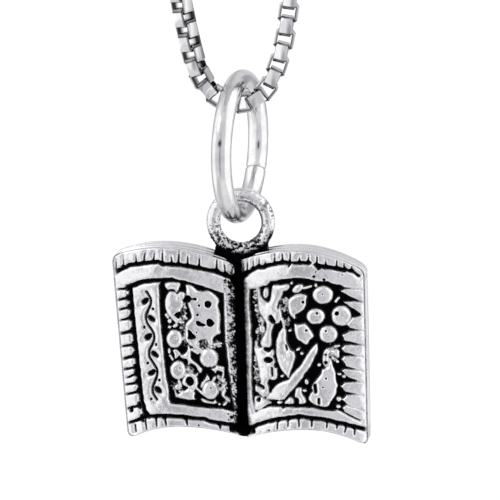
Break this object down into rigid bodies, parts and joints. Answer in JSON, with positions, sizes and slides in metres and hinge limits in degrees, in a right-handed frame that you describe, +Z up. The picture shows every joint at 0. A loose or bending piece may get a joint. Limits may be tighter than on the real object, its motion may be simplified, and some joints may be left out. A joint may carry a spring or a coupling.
{
  "type": "open book charm pendant on a box chain",
  "caption": "Small oxidised silver charm shaped as an open book with relief pages, hung from a round jump ring on a fine box chain loop.",
  "frame": {"origin": "the point inside the top of the loop, under the clasp, where a neck or a display peg holds the necklace up", "axes": "+Z up along the hanging loop, +X to the right of someone who looks at the open pages, -Y the way that the open pages face"},
  "size_m": [0.0502, 0.0076, 0.2303],
  "materials": {
    "oxidised_silver": "cast sterling silver, blackened in the recesses and polished on the raised parts",
    "polished_silver": "polished sterling silver wire",
    "chain_silver": "bright sterling silver"
  },
  "bodies": {
    "chain": {"box_chain": "chain_silver", "clasp": "chain_silver"},
    "ring": {"jump_ring": "polished_silver"},
    "charm": {"book_charm": "oxidised_silver"}
  },
  "joints": [
    {"name": "ring_swing", "type": "hinge", "parent": "chain", "child": "ring", "pos_m": [-0.00005, 0, -0.211], "axis": [1, 0, 0], "range_deg": [-90, 90]},
    {"name": "charm_swing", "type": "hinge", "parent": "ring", "child": "charm", "pos_m": [-0.00005, 0, -0.21655], "axis": [-0.1564, -0.9877, 0], "range_deg": [-75, 75]}
  ]
}
